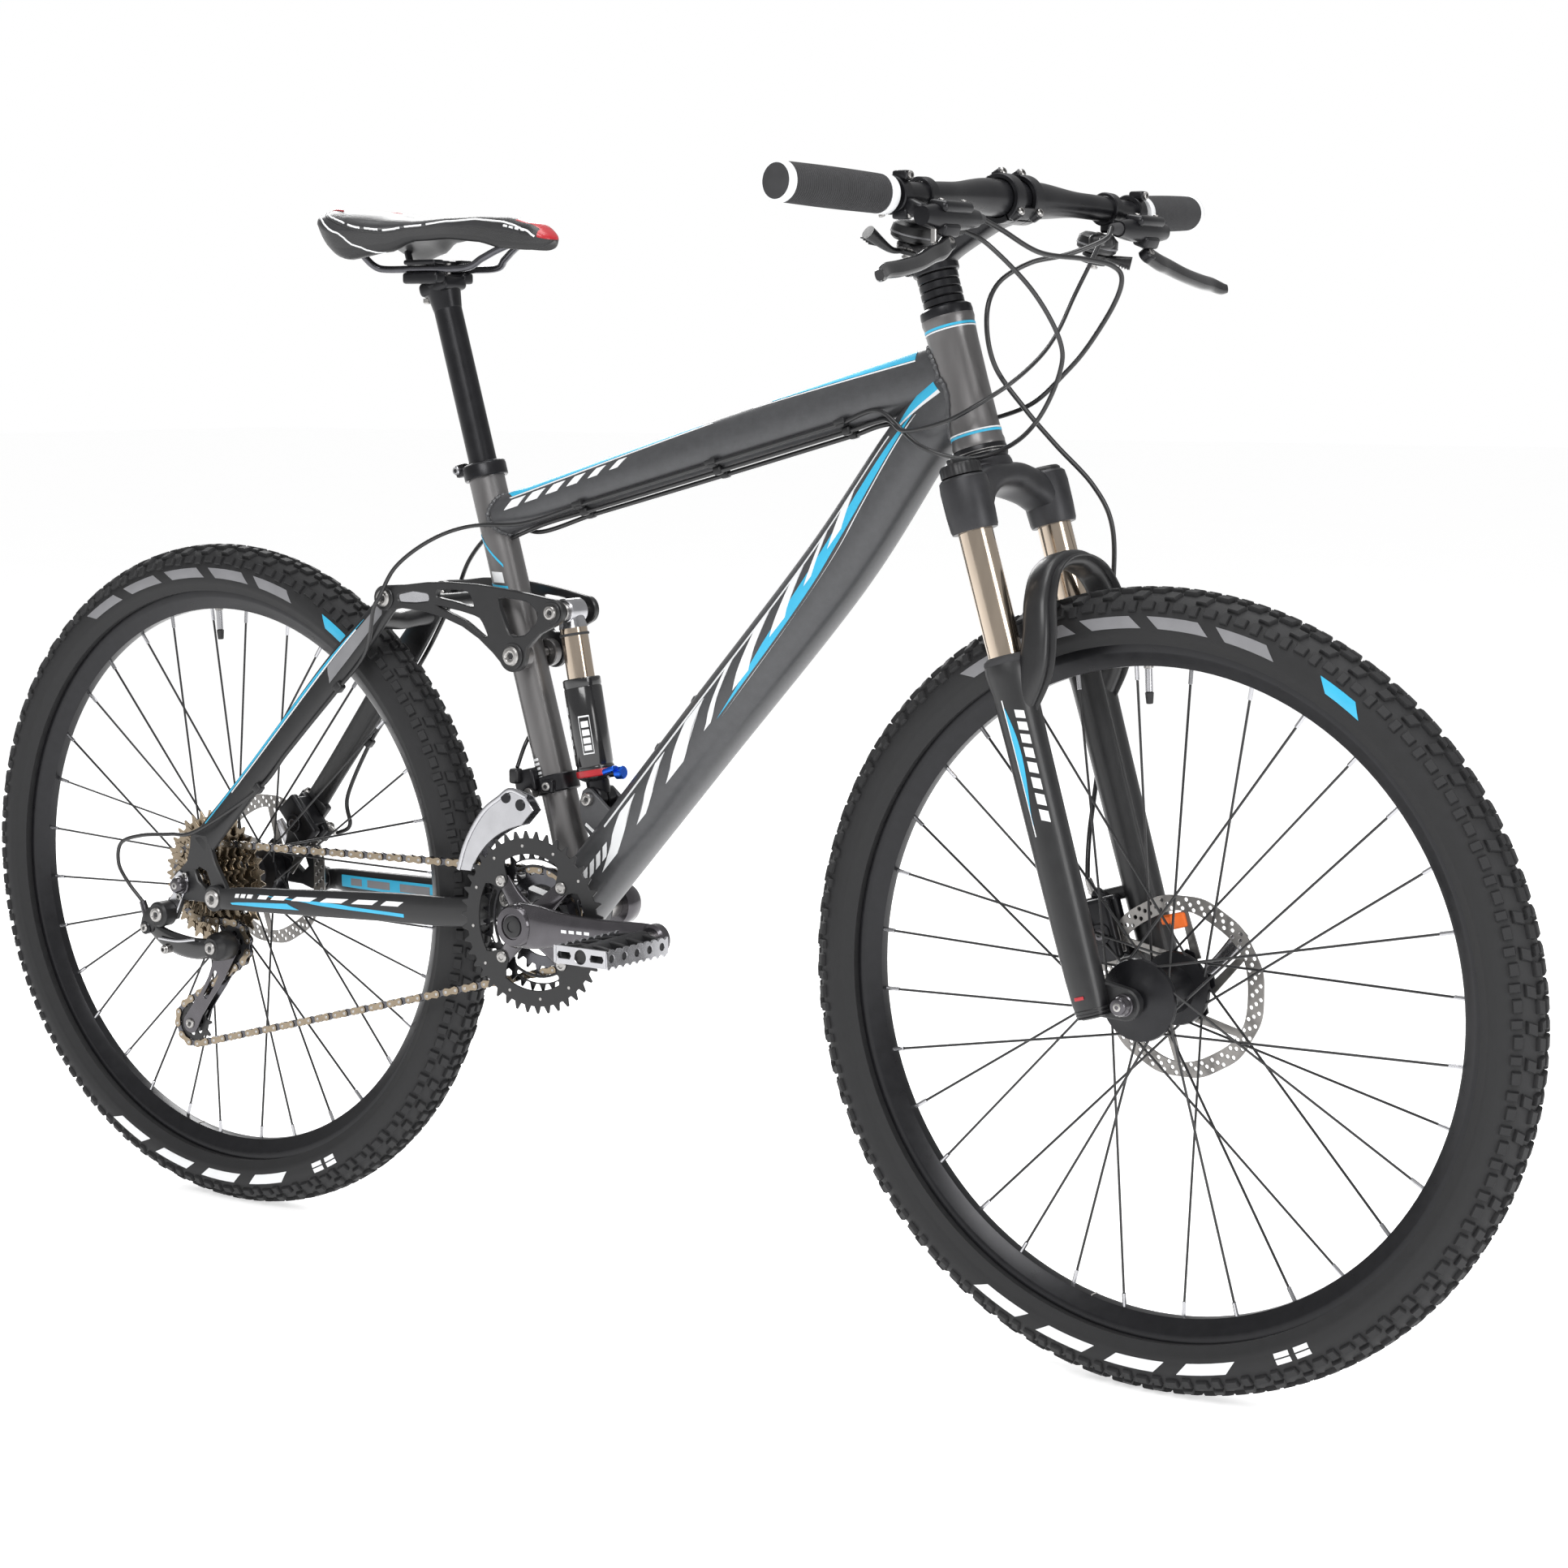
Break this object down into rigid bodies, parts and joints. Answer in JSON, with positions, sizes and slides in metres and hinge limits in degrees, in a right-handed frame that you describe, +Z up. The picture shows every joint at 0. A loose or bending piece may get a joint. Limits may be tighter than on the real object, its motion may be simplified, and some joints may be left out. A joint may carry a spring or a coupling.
{
  "type": "mountain bike",
  "caption": "Full-suspension mountain bike with telescopic fork, linkage rear end, disc brakes, derailleur gears and knobbly tyres.",
  "frame": {"origin": "on the ground, at the middle of the length from tyre to tyre, on the centre plane (95.5 mm ahead of the crank axis)", "axes": "+X forward, +Y to the rider's left, +Z up; the drive train is on the -Y side"},
  "size_m": [1.787, 0.6698, 1.0365],
  "materials": {
    "frame_paint": "satin",
    "black_paint": "matte",
    "black_alloy": "satin",
    "grey_alloy": "gloss",
    "silver_alloy": "satin",
    "steel": "brushed",
    "stanchion": "polished",
    "chain_steel": "satin",
    "tyre_rubber": "matte",
    "grip_rubber": "matte",
    "plastic": "matte",
    "saddle_cover": "matte"
  },
  "bodies": {
    "frame": {"main_frame": "frame_paint", "headset_upper_cup": "black_alloy", "headset_lower_cup": "black_alloy", "bottom_bracket": "black_alloy", "seat_clamp": "black_alloy", "front_derailleur_body": "plastic", "chain": "chain_steel"},
    "seat": {"seatpost": "black_alloy", "saddle_rails": "steel", "saddle": "saddle_cover"},
    "steering": {"fork_upper": "stanchion", "headset_spacers": "black_alloy", "stem": "black_alloy", "stem_faceplate": "black_alloy", "handlebar": "black_alloy", "grip_right": "grip_rubber", "grip_left": "grip_rubber", "brake_master_right": "plastic", "brake_master_left": "plastic", "shifter_right": "plastic", "shifter_left": "plastic"},
    "fork_knob": {"fork_knob": "plastic"},
    "right_brake_lever": {"brake_lever_right": "black_alloy"},
    "left_brake_lever": {"brake_lever_left": "black_alloy"},
    "right_shift_lever": {"shift_lever_right": "plastic"},
    "left_shift_lever": {"shift_lever_left": "plastic"},
    "right_release_lever": {"release_lever_right": "plastic"},
    "left_release_lever": {"release_lever_left": "plastic"},
    "lower_fork": {"fork_lowers": "black_paint", "front_caliper": "black_alloy", "front_axle": "steel"},
    "front_wheel": {"front_tyre": "tyre_rubber", "front_rim": "black_alloy", "front_hub_and_spokes": "black_alloy", "front_rotor": "steel"},
    "chainstay": {"chainstay": "black_paint"},
    "seatstay": {"seatstay": "black_paint", "rear_caliper": "black_alloy", "rear_axle": "steel", "derailleur_b_knuckle": "plastic"},
    "rear_wheel": {"rear_tyre": "tyre_rubber", "rear_rim": "black_alloy", "rear_hub_and_spokes": "black_alloy", "rear_rotor": "steel"},
    "cassette": {"cassette": "chain_steel"},
    "rocker": {"rocker_link": "black_paint"},
    "shock_can": {"shock_body": "black_alloy"},
    "shock_rod": {"shock_shaft": "steel"},
    "crank": {"crank_right": "grey_alloy", "crank_left": "grey_alloy", "chainring_outer": "black_alloy", "chainring_middle": "black_alloy", "chainring_inner": "black_alloy"},
    "right_pedal": {"pedal_right": "silver_alloy"},
    "left_pedal": {"pedal_left": "silver_alloy"},
    "derailleur_knuckle": {"derailleur_p_knuckle": "black_alloy"},
    "derailleur_cage": {"derailleur_cage": "black_alloy"},
    "guide_pulley": {"guide_pulley": "plastic"},
    "tension_pulley": {"tension_pulley": "plastic"},
    "front_cage": {"front_derailleur_cage": "steel"}
  },
  "joints": [
    {"name": "steering_turn", "type": "hinge", "parent": "frame", "child": "steering", "pos_m": [0.364, 0, 0.8044], "axis": [-0.2874, 0, 0.9578], "range_deg": [-45, 45]},
    {"name": "fork_travel", "type": "slide", "parent": "steering", "child": "lower_fork", "axis": [-0.2874, 0, 0.9578], "range_m": [0, 0.098]},
    {"name": "front_wheel_spin", "type": "hinge", "parent": "lower_fork", "child": "front_wheel", "pos_m": [0.5475, 0, 0.346], "axis": [0, 1, 0], "continuous": true},
    {"name": "rear_suspension", "type": "hinge", "parent": "frame", "child": "chainstay", "pos_m": [-0.1415, 0, 0.366], "axis": [0, 1, 0], "range_deg": [0, 14], "deforming": ["chain"]},
    {"name": "seatstay_pivot", "type": "hinge", "parent": "chainstay", "child": "seatstay", "pos_m": [-0.4965, 0, 0.337], "axis": [0, 1, 0], "range_deg": [-7.8, 0]},
    {"name": "rocker_turn", "type": "hinge", "parent": "frame", "child": "rocker", "pos_m": [-0.137, 0, 0.6], "axis": [0, 1, 0], "range_deg": [0, 26.4]},
    {"name": "shock_swing", "type": "hinge", "parent": "frame", "child": "shock_can", "pos_m": [-0.0579, 0, 0.4667], "axis": [0, 1, 0], "range_deg": [0, 4]},
    {"name": "shock_stroke", "type": "slide", "parent": "shock_can", "child": "shock_rod", "axis": [0.1899, 0, -0.9818], "range_m": [0, 0.0265]},
    {"name": "rear_wheel_spin", "type": "hinge", "parent": "seatstay", "child": "rear_wheel", "pos_m": [-0.5475, 0, 0.346], "axis": [0, 1, 0], "continuous": true},
    {"name": "crank_spin", "type": "hinge", "parent": "frame", "child": "crank", "pos_m": [-0.0955, 0, 0.35], "axis": [0, 1, 0], "continuous": true},
    {"name": "cassette_spin", "type": "hinge", "parent": "seatstay", "child": "cassette", "pos_m": [-0.5475, 0, 0.346], "axis": [0, 1, 0], "continuous": true},
    {"name": "right_pedal_spin", "type": "hinge", "parent": "crank", "child": "right_pedal", "pos_m": [0.06944, 0, 0.35432], "axis": [0, 1, 0], "continuous": true},
    {"name": "left_pedal_spin", "type": "hinge", "parent": "crank", "child": "left_pedal", "pos_m": [-0.26044, 0, 0.34568], "axis": [0, 1, 0], "continuous": true},
    {"name": "rear_shift", "type": "slide", "parent": "seatstay", "child": "derailleur_knuckle", "axis": [0, 1, 0], "range_m": [0, 0.00435], "deforming": ["chain"]},
    {"name": "cage_swing", "type": "hinge", "parent": "derailleur_knuckle", "child": "derailleur_cage", "pos_m": [-0.5065, 0, 0.284], "axis": [0, 1, 0], "range_deg": [-6, 0]},
    {"name": "guide_pulley_spin", "type": "hinge", "parent": "derailleur_cage", "child": "guide_pulley", "pos_m": [-0.5065, 0, 0.284], "axis": [0, 1, 0], "continuous": true},
    {"name": "tension_pulley_spin", "type": "hinge", "parent": "derailleur_cage", "child": "tension_pulley", "pos_m": [-0.5661, 0, 0.1944], "axis": [0, 1, 0], "continuous": true},
    {"name": "front_shift", "type": "slide", "parent": "frame", "child": "front_cage", "axis": [0, -1, 0], "range_m": [0, 0.0016]},
    {"name": "right_brake_pull", "type": "hinge", "parent": "steering", "child": "right_brake_lever", "pos_m": [0.4345, -0.165, 0.972], "axis": [-0.8152, 0, -0.5792], "range_deg": [0, 18]},
    {"name": "left_brake_pull", "type": "hinge", "parent": "steering", "child": "left_brake_lever", "pos_m": [0.4345, 0.165, 0.972], "axis": [0.8152, 0, 0.5792], "range_deg": [0, 18]},
    {"name": "right_shift_push", "type": "hinge", "parent": "steering", "child": "right_shift_lever", "pos_m": [0.3925, -0.15, 0.982], "axis": [0.259, 0, 0.9659], "range_deg": [0, 22]},
    {"name": "left_shift_push", "type": "hinge", "parent": "steering", "child": "left_shift_lever", "pos_m": [0.3925, 0.15, 0.982], "axis": [-0.259, 0, -0.9659], "range_deg": [0, 22]},
    {"name": "right_release_pull", "type": "hinge", "parent": "steering", "child": "right_release_lever", "pos_m": [0.3925, -0.15, 0.982], "axis": [-0.259, 0, -0.9659], "range_deg": [0, 12]},
    {"name": "left_release_pull", "type": "hinge", "parent": "steering", "child": "left_release_lever", "pos_m": [0.3925, 0.15, 0.982], "axis": [0.259, 0, 0.9659], "range_deg": [0, 12]},
    {"name": "seatpost_slide", "type": "slide", "parent": "frame", "child": "seat", "axis": [-0.2786, 0, 0.9604], "range_m": [-0.075, 0.025]},
    {"name": "fork_knob_turn", "type": "hinge", "parent": "steering", "child": "fork_knob", "pos_m": [0.38766, -0.065, 0.78122], "axis": [-0.2874, 0, 0.9578], "range_deg": [0, 90]}
  ],
  "couplings": [
    {"joint": "seatstay_pivot", "follows": "rear_suspension", "ratio": -0.54857},
    {"joint": "rocker_turn", "follows": "rear_suspension", "ratio": 1.8712},
    {"joint": "shock_swing", "follows": "rear_suspension", "ratio": 0.27317},
    {"joint": "shock_stroke", "follows": "rear_suspension", "m_per_rad": 0.10613},
    {"joint": "cage_swing", "follows": "rear_suspension", "ratio": -0.36},
    {"joint": "cassette_spin", "follows": "crank_spin", "ratio": 1.2},
    {"joint": "guide_pulley_spin", "follows": "crank_spin", "ratio": -2.1818},
    {"joint": "tension_pulley_spin", "follows": "crank_spin", "ratio": 2.1818},
    {"joint": "right_shift_push", "follows": "rear_shift", "rad_per_m": 88.2},
    {"joint": "front_shift", "follows": "left_shift_push", "m_per_rad": 0.00391}
  ]
}
